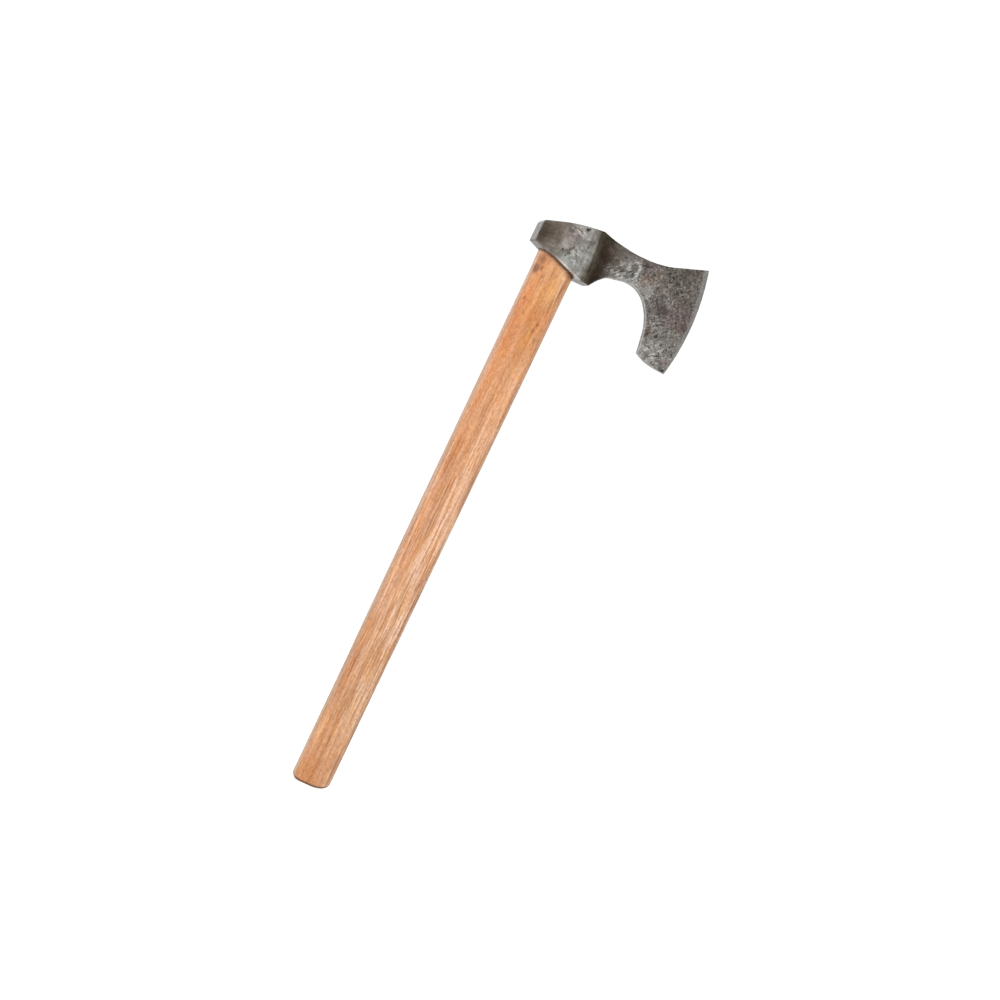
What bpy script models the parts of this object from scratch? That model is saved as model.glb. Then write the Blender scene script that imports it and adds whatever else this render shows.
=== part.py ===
"""Bearded broad axe: a forged head on a straight wooden haft, held by a wooden wedge and two steel wedges.

Frame: the origin is the middle of the haft's flat butt end, +Z runs up the haft to the head, +X points to the
cutting edge and +Y is across the head's thickness. Lengths are in metres and the axe is symmetric about Y = 0.
"""

import math

import bmesh
import bpy
from mathutils import Matrix, Vector

# Haft: a straight bar of rounded rectangular section that widens a little towards the head.
HAFT_WIDTH_BUTT = 0.0359
HAFT_WIDTH_HEAD = 0.0388
HAFT_THICKNESS = 0.0260
HAFT_CORNER = 0.0064
BUTT_ROUNDING = 0.0042

# Head: side heights are measured from EYE_HEIGHT and lengths from the haft's centre line.
EYE_HEIGHT = 0.5660
POLL_BACK = -0.0300
POLL_BOTTOM = -0.0100
POLL_HALF_WIDTH = 0.0173
RIDGE_X = 0.0257
RIDGE_HALF_WIDTH = 0.0200
RIDGE_LEAN = math.radians(5.0)
NECK_X = 0.0480
NECK_HALF_WIDTH = 0.0072
LUG_BOTTOM = -0.0267
LUG_FRONT = 0.0350
CHEEK_CHAMFER_REAR = 0.0014
CHEEK_CHAMFER_FRONT = 0.0007

# Cutting edge: one arc, ground to a bevel on both faces.
EDGE_X = 0.1451
EDGE_RADIUS = 0.2336
EDGE_CENTRE_Z = -0.0222
EDGE_FLAT = 0.0003
BEVEL_WIDTH = 0.0048
BEVEL_HALF_WIDTH = 0.0018

# Eye: it follows the haft's section below and widens upwards, so that the wedged haft cannot pull out.
EYE_BOTTOM = LUG_BOTTOM
EYE_TOP = 0.0262
EYE_WIDEN = 0.0022
FIT_GAP = 0.0003

# The haft's top end and the wedges are sawn off along the slope of the head's upper face.
TOP_SLOPE = math.radians(14.5)
TOP_SINK = 0.0018
TOP_LINE = 0.0207

# Wedges: the wooden one fills a kerf along the eye, and the steel ones are driven in across it.
WOOD_WEDGE_TOP = 0.0054
WOOD_WEDGE_TIP = 0.0012
WOOD_WEDGE_DEPTH = 0.0360
STEEL_WEDGE_WIDTH = 0.0190
STEEL_WEDGE_TOP = 0.0032
STEEL_WEDGE_TIP = 0.0008
STEEL_WEDGE_DEPTH = 0.0220
STEEL_WEDGE_OFFSET = 0.0095

# Facets and working room of the cutters.
CORNER_SEGMENTS = 5
ROUNDING_SEGMENTS = 4
EDGE_STEPS = 240
OUTLINE_RESOLUTION = 6
SHARP_ANGLE = math.radians(16)
WELD = 0.00001
CLEAR = 0.0100
SAW_SIZE = 0.2000
OUTLINE_DEPTH = 0.0600
PLAN_DEPTH = 0.2400
ROUNDED_FROM = math.radians(60)

# The head's side outline, anticlockwise from the back of the poll. In front it runs on past the cutting edge,
# which is trimmed to its arc. It is sharp at a corner and runs smoothly through the other points.
HEAD_OUTLINE = (
    (POLL_BACK, POLL_BOTTOM, "corner"),
    (-0.0190, -0.0144, "corner"),
    (0.0185, LUG_BOTTOM, "corner"),
    (LUG_FRONT, LUG_BOTTOM, "corner"),
    (0.0420, -0.0178, "smooth"),
    (0.0500, -0.0113, "smooth"),
    (0.0580, -0.0090, "smooth"),
    (0.0725, -0.0070, "smooth"),
    (0.0850, -0.0110, "smooth"),
    (0.0965, -0.0230, "smooth"),
    (0.1029, -0.0366, "smooth"),
    (0.1060, -0.0520, "smooth"),
    (0.1077, -0.0629, "corner"),
    (0.1130, -0.0650, "smooth"),
    (0.1180, -0.0670, "smooth"),
    (0.1247, -0.0683, "smooth"),
    (0.1388, -0.0694, "corner"),
    (EDGE_X + CLEAR, -0.0710, "corner"),
    (EDGE_X + CLEAR, 0.0450, "corner"),
    (0.1345, 0.0379, "corner"),
    (0.1166, 0.0310, "smooth"),
    (0.0969, 0.0241, "smooth"),
    (0.0720, 0.0212, "smooth"),
    (0.0480, 0.0228, "smooth"),
    (0.0270, 0.0259, "corner"),
    (-0.0019, 0.0203, "smooth"),
    (-0.0286, 0.0112, "corner"),
    (POLL_BACK, 0.0090, "corner"),
)

# Half of the head's plan outline, from behind the poll to past the edge: cheeks that flare to a ridge, a hollow
# down to the neck and the blade's long taper.
HEAD_PLAN = (
    (POLL_BACK - CLEAR, POLL_HALF_WIDTH, "corner"),
    (-0.0200, POLL_HALF_WIDTH, "smooth"),
    (0.0050, 0.0182, "smooth"),
    (RIDGE_X, RIDGE_HALF_WIDTH, "corner"),
    (0.0360, 0.0118, "smooth"),
    (NECK_X, NECK_HALF_WIDTH, "smooth"),
    (0.0800, 0.0052, "smooth"),
    (EDGE_X + 2 * CLEAR, 0.0014, "corner"),
)


def clear_scene():
    for obj in list(bpy.data.objects):
        bpy.data.objects.remove(obj)


def new_collection(name):
    collection = bpy.data.collections.new(name)
    bpy.context.scene.collection.children.link(collection)
    return collection


def new_material(name, color, roughness, metallic):
    material = bpy.data.materials.new(name)
    material.use_nodes = True
    shader = material.node_tree.nodes["Principled BSDF"]
    shader.inputs["Base Color"].default_value = (*color, 1.0)
    shader.inputs["Roughness"].default_value = roughness
    shader.inputs["Metallic"].default_value = metallic
    return material


def mesh_object(name, bm, collection, material=None):
    """Turns the bmesh into an object; one with no material is a cutter and isn't a piece of the axe."""
    mesh = bpy.data.meshes.new(name)
    bm.to_mesh(mesh)
    bm.free()
    obj = bpy.data.objects.new(name, mesh)
    collection.objects.link(obj)
    if material:
        mesh.materials.append(material)
    else:
        obj.hide_render = True
        obj.display_type = "WIRE"
    return obj


def boolean(obj, other, operation):
    modifier = obj.modifiers.new(other.name, "BOOLEAN")
    modifier.operation = operation
    modifier.object = other


def outline_prism(name, points, depth, matrix, collection, material=None):
    """A flat outline of (x, y, kind) points, given a thickness and made a mesh with its caps welded on."""
    curve = bpy.data.curves.new(name + "_outline", "CURVE")
    curve.dimensions = "2D"
    curve.fill_mode = "BOTH"
    curve.extrude = depth / 2
    curve.resolution_u = OUTLINE_RESOLUTION
    spline = curve.splines.new("BEZIER")
    spline.bezier_points.add(len(points) - 1)
    spline.use_cyclic_u = True
    for bezier_point, (x, y, kind) in zip(spline.bezier_points, points):
        bezier_point.co = (x, y, 0.0)
        handle = "VECTOR" if kind == "corner" else "AUTO"
        bezier_point.handle_left_type = handle
        bezier_point.handle_right_type = handle
    drawn = bpy.data.objects.new(name + "_outline", curve)
    drawn.matrix_world = matrix
    collection.objects.link(drawn)
    bpy.context.view_layer.update()
    graph = bpy.context.evaluated_depsgraph_get()
    flat = bpy.data.meshes.new_from_object(drawn.evaluated_get(graph))
    bm = bmesh.new()
    bm.from_mesh(flat)
    bmesh.ops.remove_doubles(bm, verts=bm.verts, dist=WELD)
    bmesh.ops.recalc_face_normals(bm, faces=bm.faces)
    obj = mesh_object(name, bm, collection, material)
    obj.matrix_world = drawn.matrix_world.copy()
    bpy.data.objects.remove(drawn)
    return obj


def finish(obj):
    """Keeps the modelled shape as the object's own mesh, smooth on its round faces and sharp at its edges."""
    bpy.context.view_layer.update()
    graph = bpy.context.evaluated_depsgraph_get()
    mesh = bpy.data.meshes.new_from_object(obj.evaluated_get(graph))
    obj.modifiers.clear()
    obj.data = mesh
    mesh.name = obj.name
    mesh.shade_smooth()
    mesh.set_sharp_from_angle(angle=SHARP_ANGLE)


def haft_width(z):
    """Width of the haft along X: an even taper up to the eye, then as wide as the eye lets it be."""
    share = min(1.0, z / (EYE_HEIGHT + EYE_BOTTOM))
    return HAFT_WIDTH_BUTT + (HAFT_WIDTH_HEAD - HAFT_WIDTH_BUTT) * share + eye_widening(z)


def eye_widening(z):
    """How much wider the eye is at height z than at its lower end."""
    share = (z - EYE_HEIGHT - EYE_BOTTOM) / (EYE_TOP - EYE_BOTTOM)
    return EYE_WIDEN * max(0.0, share)


def haft_bar(name, levels, gap, collection, material=None):
    """A bar of the haft's section between the first and last level, grown by gap, with rounded long edges."""
    bm = bmesh.new()
    bmesh.ops.create_cube(bm, size=1.0)
    for vert in bm.verts:
        vert.co.z = levels[-1] if vert.co.z > 0 else levels[0]
    for level in levels[1:-1]:
        geometry = bm.verts[:] + bm.edges[:] + bm.faces[:]
        bmesh.ops.bisect_plane(bm, geom=geometry, plane_co=(0, 0, level), plane_no=(0, 0, 1))
    for vert in bm.verts:
        vert.co.x *= haft_width(vert.co.z) + 2 * gap
        vert.co.y *= HAFT_THICKNESS + eye_widening(vert.co.z) + 2 * gap
    long_edges = [edge for edge in bm.edges if abs(edge.verts[0].co.z - edge.verts[1].co.z) > CLEAR / 2]
    bmesh.ops.bevel(
        bm,
        geom=long_edges,
        offset=HAFT_CORNER + gap,
        offset_type="OFFSET",
        segments=CORNER_SEGMENTS,
        profile=0.5,
        affect="EDGES",
    )
    return mesh_object(name, bm, collection, material)


def tapered_block(name, top, tip, z_top, z_tip, x, collection, material=None):
    """A wedge: top and tip are its (x, y) sizes at z_top and z_tip."""
    bm = bmesh.new()
    bmesh.ops.create_cube(bm, size=1.0)
    for vert in bm.verts:
        size_x, size_y = top if vert.co.z > 0 else tip
        height = z_top if vert.co.z > 0 else z_tip
        vert.co = (x + vert.co.x * size_x, vert.co.y * size_y, height)
    return mesh_object(name, bm, collection, material)


def plane_cutter(name, point, along, across, collection):
    """A large block with one face through point. It lies on the side that the cross product points to."""
    x_axis = Vector(along).normalized()
    z_axis = x_axis.cross(Vector(across)).normalized()
    y_axis = z_axis.cross(x_axis)
    bm = bmesh.new()
    bmesh.ops.create_cube(bm, size=SAW_SIZE)
    bmesh.ops.translate(bm, verts=bm.verts, vec=(0, 0, SAW_SIZE / 2))
    obj = mesh_object(name, bm, collection)
    rotation = Matrix((x_axis, y_axis, z_axis)).transposed().to_4x4()
    obj.matrix_world = Matrix.Translation(point) @ rotation
    return obj


def make_bevel_blank(collection):
    """A double cone about the edge arc's centre: its rim is the cutting edge and its cones are the bevels."""
    apex = EDGE_RADIUS * BEVEL_HALF_WIDTH / BEVEL_WIDTH + EDGE_FLAT / 2
    profile = ((0.0, apex), (EDGE_RADIUS, EDGE_FLAT / 2), (EDGE_RADIUS, -EDGE_FLAT / 2), (0.0, -apex))
    bm = bmesh.new()
    verts = [bm.verts.new((radius, 0.0, height)) for radius, height in profile]
    for first, second in zip(verts, verts[1:]):
        bm.edges.new((first, second))
    blank = mesh_object("bevel_blank", bm, collection)
    centre = (EDGE_X - EDGE_RADIUS, 0.0, EYE_HEIGHT + EDGE_CENTRE_Z)
    blank.matrix_world = Matrix.Translation(centre) @ Matrix.Rotation(math.pi / 2, 4, "X")
    screw = blank.modifiers.new("turn", "SCREW")
    screw.steps = EDGE_STEPS
    screw.render_steps = EDGE_STEPS
    screw.use_merge_vertices = True
    screw.merge_threshold = WELD
    return blank


def make_plan_blank(collection):
    """The head as seen from above, run through its whole height and leaning with the ridge."""
    near = [(x, -y, kind) for x, y, kind in HEAD_PLAN]
    far = [(x, y, kind) for x, y, kind in reversed(HEAD_PLAN)]
    lean = Matrix.Translation((RIDGE_X, 0.0, EYE_HEIGHT)) @ Matrix.Rotation(-RIDGE_LEAN, 4, "Y")
    matrix = lean @ Matrix.Translation((-RIDGE_X, 0.0, 0.0))
    return outline_prism("plan_blank", near + far, PLAN_DEPTH, matrix, collection)


def make_eye_cutter(collection):
    low = EYE_HEIGHT + EYE_BOTTOM
    high = EYE_HEIGHT + EYE_TOP
    return haft_bar("eye_cutter", (low - 2 * CLEAR, low, high + 2 * CLEAR), FIT_GAP, collection)


def make_chamfer_cutter(side, collection):
    """Takes off the lower edge of the cheek on one side, most at the poll and least at the front lug."""
    rear_z = EYE_HEIGHT + POLL_BOTTOM
    front_z = EYE_HEIGHT + LUG_BOTTOM
    rear = Vector((POLL_BACK, side * POLL_HALF_WIDTH, rear_z + CHEEK_CHAMFER_REAR))
    rear_low = Vector((POLL_BACK, side * (POLL_HALF_WIDTH - CHEEK_CHAMFER_REAR), rear_z))
    front = Vector((RIDGE_X, side * RIDGE_HALF_WIDTH, front_z + CHEEK_CHAMFER_FRONT))
    along = front - rear
    across = rear_low - rear
    if side < 0:
        along = -along
    return plane_cutter(f"chamfer_{'left' if side > 0 else 'right'}", rear, along, across, collection)


def make_top_saw(collection):
    """The plane along which the haft's end and the wedges are sawn off."""
    point = (0.0, 0.0, EYE_HEIGHT + TOP_LINE - TOP_SINK)
    slope = (math.cos(TOP_SLOPE), 0.0, math.sin(TOP_SLOPE))
    return plane_cutter("top_saw", point, slope, (0.0, 1.0, 0.0), collection)


def make_head(parts, cutters, material):
    """Side outline, plan outline and bevel cones meet in the head, and the eye runs through it."""
    matrix = Matrix.Translation((0.0, 0.0, EYE_HEIGHT)) @ Matrix.Rotation(math.pi / 2, 4, "X")
    head = outline_prism("axe_head", HEAD_OUTLINE, OUTLINE_DEPTH, matrix, parts, material)
    boolean(head, make_plan_blank(cutters), "INTERSECT")
    boolean(head, make_bevel_blank(cutters), "INTERSECT")
    for side in (-1, 1):
        boolean(head, make_chamfer_cutter(side, cutters), "DIFFERENCE")
    boolean(head, make_eye_cutter(cutters), "DIFFERENCE")
    return head


def make_haft(parts, material):
    """The haft with its rounded butt, still longer than the head is high."""
    low = EYE_HEIGHT + EYE_BOTTOM
    haft = haft_bar("haft", (0.0, low, EYE_HEIGHT + EYE_TOP + CLEAR), 0.0, parts, material)
    rounding = haft.modifiers.new("rounded_ends", "BEVEL")
    rounding.limit_method = "ANGLE"
    rounding.angle_limit = ROUNDED_FROM
    rounding.width = BUTT_ROUNDING
    rounding.segments = ROUNDING_SEGMENTS
    return haft


def make_wood_wedge(name, gap, collection, material=None):
    """The wooden wedge, as long as the haft's end is wide; its cutter runs out past the end on both sides."""
    top = EYE_HEIGHT + EYE_TOP + CLEAR
    tip = EYE_HEIGHT + TOP_LINE - WOOD_WEDGE_DEPTH
    past = 2 * CLEAR if gap else 0.0
    taper = (WOOD_WEDGE_TOP - WOOD_WEDGE_TIP) / WOOD_WEDGE_DEPTH
    width_top = WOOD_WEDGE_TOP + taper * (top - EYE_HEIGHT - TOP_LINE)
    return tapered_block(
        name,
        (haft_width(top) + past, width_top + 2 * gap),
        (haft_width(tip) + past, WOOD_WEDGE_TIP + 2 * gap),
        top,
        tip - gap,
        0.0,
        collection,
        material,
    )


def make_steel_wedge(name, x, gap, collection, material=None):
    """A steel wedge driven in across the wooden one at x."""
    top = EYE_HEIGHT + EYE_TOP + CLEAR
    tip = EYE_HEIGHT + TOP_LINE - STEEL_WEDGE_DEPTH
    taper = (STEEL_WEDGE_TOP - STEEL_WEDGE_TIP) / STEEL_WEDGE_DEPTH
    width_top = STEEL_WEDGE_TOP + taper * (top - EYE_HEIGHT - TOP_LINE)
    across = STEEL_WEDGE_WIDTH + 2 * gap
    return tapered_block(
        name,
        (width_top + 2 * gap, across),
        (STEEL_WEDGE_TIP + 2 * gap, across),
        top,
        tip - gap,
        x,
        collection,
        material,
    )


def main():
    clear_scene()
    parts = new_collection("broad_axe")
    cutters = new_collection("cutters")
    forged = new_material("forged_steel", (0.150, 0.135, 0.122), 0.55, 0.85)
    wood = new_material("haft_wood", (0.640, 0.350, 0.185), 0.60, 0.0)
    wedge_wood = new_material("wedge_wood", (0.480, 0.260, 0.130), 0.70, 0.0)
    wedge_steel = new_material("wedge_steel", (0.210, 0.200, 0.190), 0.50, 0.90)

    make_head(parts, cutters, forged)
    haft = make_haft(parts, wood)
    top_saw = make_top_saw(cutters)
    kerf = make_wood_wedge("kerf_cutter", FIT_GAP, cutters)
    wooden = make_wood_wedge("wooden_wedge", 0.0, parts, wedge_wood)
    boolean(haft, kerf, "DIFFERENCE")
    for name, x in (("rear", -STEEL_WEDGE_OFFSET), ("front", STEEL_WEDGE_OFFSET)):
        slot = make_steel_wedge(f"slot_cutter_{name}", x, FIT_GAP, cutters)
        boolean(haft, slot, "DIFFERENCE")
        boolean(wooden, slot, "DIFFERENCE")
        steel = make_steel_wedge(f"steel_wedge_{name}", x, 0.0, parts, wedge_steel)
        boolean(steel, top_saw, "DIFFERENCE")
    boolean(haft, top_saw, "DIFFERENCE")
    boolean(wooden, top_saw, "DIFFERENCE")
    for obj in parts.objects:
        finish(obj)


main()
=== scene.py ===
"""The looks of the bearded broad axe: a forged, worn head on an oiled wooden haft.

Every piece is a dense copy of its CAD node, worn and dented in code, with a procedural material. The axe
stands on its butt, so the camera is rolled to show it leaning as it was seen. Lengths are in metres, or in
mm where a comment says so.
"""

import math
import random

import bmesh
import bpy
from mathutils import Matrix, Vector, kdtree, noise


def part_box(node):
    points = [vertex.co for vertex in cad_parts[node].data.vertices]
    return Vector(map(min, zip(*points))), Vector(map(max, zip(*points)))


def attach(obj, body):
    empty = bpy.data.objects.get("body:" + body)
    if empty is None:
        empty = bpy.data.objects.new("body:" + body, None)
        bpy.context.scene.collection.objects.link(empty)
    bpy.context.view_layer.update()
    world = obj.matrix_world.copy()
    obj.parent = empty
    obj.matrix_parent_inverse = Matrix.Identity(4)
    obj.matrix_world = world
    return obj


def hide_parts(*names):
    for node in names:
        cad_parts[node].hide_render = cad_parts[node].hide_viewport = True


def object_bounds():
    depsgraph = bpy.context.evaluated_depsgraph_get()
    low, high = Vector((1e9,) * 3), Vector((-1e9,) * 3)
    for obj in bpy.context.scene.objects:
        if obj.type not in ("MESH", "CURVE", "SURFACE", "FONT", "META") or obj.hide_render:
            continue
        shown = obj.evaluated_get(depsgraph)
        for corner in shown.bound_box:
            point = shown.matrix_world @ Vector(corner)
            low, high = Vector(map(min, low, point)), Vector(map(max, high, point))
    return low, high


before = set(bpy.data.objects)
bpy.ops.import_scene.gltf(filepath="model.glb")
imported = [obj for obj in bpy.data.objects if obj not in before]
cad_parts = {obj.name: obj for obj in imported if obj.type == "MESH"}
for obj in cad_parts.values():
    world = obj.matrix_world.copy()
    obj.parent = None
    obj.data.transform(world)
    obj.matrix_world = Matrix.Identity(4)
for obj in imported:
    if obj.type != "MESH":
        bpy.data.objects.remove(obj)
cad_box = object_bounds()

MM = 0.001

# Camera: seen from the side with the edge turned 10 degrees away, level with the haft, and rolled.
VIEW_AZIMUTH = math.radians(-10)
VIEW_ROLL = math.radians(25.43)
VIEW_DISTANCE = 2.369
VIEW_LENS = 90
VIEW_SENSOR = 36
VIEW_CENTRE_ACROSS = 0.04845
VIEW_CENTRE_UP = 0.3208

# The boxes of the head and the haft, and the places of the head's features that its box doesn't give.
head_low, head_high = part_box("axe_head")
haft_low, haft_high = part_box("haft")
EYE_HEIGHT = 0.5660
RIDGE_X = 0.0257
RIDGE_LEAN = math.radians(5.0)
EDGE_RADIUS = 0.2336
EDGE_CENTRE_DROP = 0.0222
EDGE_CENTRE = Vector((head_high.x - EDGE_RADIUS, 0.0, EYE_HEIGHT - EDGE_CENTRE_DROP))

# The head's lower side runs straight down from the poll to the lug in front of the haft.
POLL_BOTTOM = EYE_HEIGHT - 0.0100
LUG_BOTTOM = EYE_HEIGHT - 0.0267
LUG_REAR = 0.0185
# How far from the haft the eye's walls lie at most, in x and in thickness; then how far the ridge's crest
# lies from its line at most, and from the middle at least.
EYE_REACH_X = 1.5 * MM
EYE_REACH_Y = 0.45 * MM
RIDGE_REACH = 3.2 * MM
RIDGE_INSIDE = 15.5 * MM

# Cell sizes of the dense copies, as (x, y, z).
HEAD_CELLS = (0.0010, 0.0016, 0.0010)
HAFT_CELLS = (0.0016, 0.0016, 0.0018)
WEDGE_CELLS = (0.0015, 0.0010, 0.0030)
WELD = 0.00001
FLAT = math.radians(0.2)
SHARP = math.radians(24)


def smooth(low, high, value):
    """0 below low, 1 above high and an easy curve between them."""
    share = min(1.0, max(0.0, (value - low) / (high - low)))
    return share * share * (3 - 2 * share)


def bump_at(value, centre, width):
    """1 at the centre, falling away like a bell."""
    return math.exp(-(((value - centre) / width) ** 2))


def rough_noise(point, size, seed=0.0, octaves=3):
    """Noise of about -1 to 1 whose largest features are size across."""
    return noise.fractal(point / size + Vector((seed, 2.7 * seed, -seed)), 0.9, 2.1, octaves)


def linear(red, green, blue):
    """A colour given in sRGB steps of 0 to 255."""
    def channel(step):
        share = step / 255
        return share / 12.92 if share <= 0.04045 else ((share + 0.055) / 1.055) ** 2.4
    return Vector((channel(red), channel(green), channel(blue)))


# ---------------------------------------------------------------- meshes


def dense_mesh(node, cells):
    """The CAD node's mesh, welded and cut by planes into cells of the given size."""
    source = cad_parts[node].data
    bm = bmesh.new()
    verts = [bm.verts.new(vert.co) for vert in source.vertices]
    for polygon in source.polygons:
        bm.faces.new([verts[index] for index in polygon.vertices])
    bmesh.ops.remove_doubles(bm, verts=bm.verts, dist=WELD)
    bmesh.ops.dissolve_limit(bm, angle_limit=FLAT, verts=bm.verts, edges=bm.edges)
    low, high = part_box(node)
    for axis, cell in enumerate(cells):
        normal = Vector((0.0, 0.0, 0.0))
        normal[axis] = 1.0
        count = max(1, round((high[axis] - low[axis]) / cell))
        for step in range(1, count):
            point = low.lerp(high, step / count)
            geometry = bm.verts[:] + bm.edges[:] + bm.faces[:]
            bmesh.ops.bisect_plane(bm, geom=geometry, dist=WELD, plane_co=point, plane_no=normal)
    bmesh.ops.remove_doubles(bm, verts=bm.verts, dist=5 * WELD)
    bmesh.ops.triangulate(bm, faces=bm.faces)
    bm.normal_update()
    return bm


def corner_tree(bm):
    """A search tree of the points on the mesh's convex corners."""
    points = []
    for edge in bm.edges:
        if len(edge.link_faces) == 2 and edge.calc_face_angle_signed() > SHARP:
            points.append(edge.verts[0].co.copy())
            points.append(edge.verts[1].co.copy())
    tree = kdtree.KDTree(len(points))
    for index, point in enumerate(points):
        tree.insert(point, index)
    tree.balance()
    return tree


def soften(bm, tree, reach, rounds, keep):
    """Rounds the corners of the mesh by averaging the points near them, except where keep says no."""
    near = [vert for vert in bm.verts if tree.find(vert.co)[2] < reach and not keep(vert.co)]
    for _ in range(rounds):
        bmesh.ops.smooth_vert(
            bm, verts=near, factor=0.5, use_axis_x=True, use_axis_y=True, use_axis_z=True
        )
    bm.normal_update()


def add_piece(name, bm, node, material, paint):
    """Makes the object, writes its paint values for the material, and puts it in its CAD node's place."""
    mesh = bpy.data.meshes.new(name)
    bm.to_mesh(mesh)
    bm.free()
    for key, values in paint.items():
        if isinstance(values[0], float):
            layer = mesh.attributes.new(key, "FLOAT", "POINT")
            layer.data.foreach_set("value", values)
        else:
            layer = mesh.attributes.new(key, "FLOAT_COLOR", "POINT")
            flat = [channel for value in values for channel in (*value, 1.0)]
            layer.data.foreach_set("color", flat)
    mesh.shade_smooth()
    mesh.materials.append(material)
    piece = bpy.data.objects.new(name, mesh)
    bpy.context.scene.collection.objects.link(piece)
    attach(piece, "root")
    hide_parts(node)
    return piece


def keep_in_box(bm, low, high):
    """Brings points that were moved out of the CAD node's box back to its sides."""
    for vert in bm.verts:
        for axis in range(3):
            vert.co[axis] = min(high[axis], max(low[axis], vert.co[axis]))


# ---------------------------------------------------------------- node helpers

WHITE = (1.0, 1.0, 1.0)


class Nodes:
    """Short ways to lay out a material's nodes."""

    def __init__(self, name, roughness, metallic):
        self.material = bpy.data.materials.new(name)
        self.material.use_nodes = True
        self.tree = self.material.node_tree
        self.shader = self.tree.nodes["Principled BSDF"]
        self.shader.inputs["Roughness"].default_value = roughness
        self.shader.inputs["Metallic"].default_value = metallic
        self.place = self.tree.nodes.new("ShaderNodeTexCoord").outputs["Object"]

    def feed(self, socket, value):
        """Links an output to the socket, or sets the socket to a number or colour."""
        if isinstance(value, bpy.types.NodeSocket):
            self.tree.links.new(value, socket)
        elif hasattr(value, "__len__") and len(value) == 3 and len(socket.default_value) == 4:
            socket.default_value = (*value, 1.0)
        else:
            socket.default_value = value

    def stretched(self, scale, turn=(0.0, 0.0, 0.0)):
        """The place, turned and then scaled along each turned axis."""
        node = self.tree.nodes.new("ShaderNodeMapping")
        node.vector_type = "TEXTURE"
        self.feed(node.inputs["Vector"], self.place)
        node.inputs["Scale"].default_value = [1 / factor for factor in scale]
        node.inputs["Rotation"].default_value = turn
        return node.outputs["Vector"]

    def noise(self, place, scale, detail=3.0, rough=0.55, twist=0.0):
        """Grey noise; on a stretched place the scale is 1 and the place sets the features' size."""
        node = self.tree.nodes.new("ShaderNodeTexNoise")
        self.feed(node.inputs["Vector"], place)
        node.inputs["Scale"].default_value = scale
        node.inputs["Detail"].default_value = detail
        node.inputs["Roughness"].default_value = rough
        node.inputs["Distortion"].default_value = twist
        return node.outputs["Fac"]

    def ramp(self, value, *stops):
        """Stops are (position, number or colour)."""
        node = self.tree.nodes.new("ShaderNodeValToRGB")
        self.feed(node.inputs["Fac"], value)
        elements = node.color_ramp.elements
        while len(elements) < len(stops):
            elements.new(0.5)
        for element, (position, tone) in zip(elements, stops):
            element.position = position
            element.color = (*tone, 1.0) if hasattr(tone, "__len__") else (tone, tone, tone, 1.0)
        return node.outputs["Color"]

    def mix(self, share, first, second, kind="MIX"):
        node = self.tree.nodes.new("ShaderNodeMix")
        node.data_type = "RGBA"
        node.blend_type = kind
        self.feed(node.inputs["Factor"], share)
        self.feed(node.inputs["A"], first)
        self.feed(node.inputs["B"], second)
        return node.outputs["Result"]

    def maths(self, operation, first, second=0.0):
        node = self.tree.nodes.new("ShaderNodeMath")
        node.operation = operation
        self.feed(node.inputs[0], first)
        self.feed(node.inputs[1], second)
        return node.outputs["Value"]

    def paint(self, name, output="Fac"):
        """A value painted on the mesh's points, which is 0 on a piece that has none of that name."""
        node = self.tree.nodes.new("ShaderNodeAttribute")
        node.attribute_name = name
        return node.outputs[output]

    def relief(self, height, distance, strength):
        node = self.tree.nodes.new("ShaderNodeBump")
        self.feed(node.inputs["Height"], height)
        node.inputs["Distance"].default_value = distance
        node.inputs["Strength"].default_value = strength
        self.feed(self.shader.inputs["Normal"], node.outputs["Normal"])


# ---------------------------------------------------------------- head

# Tones of the forged surface, placed as (x, height above the eye's middle) in mm.
FORGE_TONES = (
    (-27, 0, linear(92, 79, 68)),
    (-18, 3, linear(100, 89, 78)),
    (-10, 5, linear(120, 109, 100)),
    (-8, -8, linear(124, 117, 108)),
    (2, 2, linear(140, 132, 128)),
    (8, -12, linear(150, 148, 142)),
    (18, 0, linear(152, 150, 144)),
    (14, 16, linear(150, 147, 142)),
    (52, 8, linear(104, 96, 88)),
    (64, 6, linear(126, 121, 116)),
    (72, -3, linear(146, 144, 141)),
    (84, 12, linear(112, 103, 99)),
    (98, 2, linear(116, 110, 104)),
    (112, 22, linear(106, 100, 94)),
    (128, 10, linear(110, 104, 98)),
    (112, -14, linear(112, 106, 102)),
    (128, -16, linear(116, 105, 101)),
    (106, -32, linear(118, 112, 108)),
    (126, -38, linear(126, 123, 117)),
    (118, -56, linear(138, 134, 130)),
)
BRIGHT_TONE = linear(196, 194, 190)
# the recess past the ridge: dark patina, darkened further as painted shade
RECESS_PATINA_AND_SHADE_TONE = linear(57, 42, 30)
RECESS_EDGE_PATINA_AND_SHADE_TONE = linear(92, 82, 66)
SIDE_TONE = linear(116, 113, 109)
POLL_TONE = linear(84, 80, 74)
GLINT_TONE = linear(238, 234, 230)
EDGE_TONE = linear(184, 182, 178)
BEVEL_TONE = linear(146, 144, 141)
PIT_TONE = linear(30, 25, 22)
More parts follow.
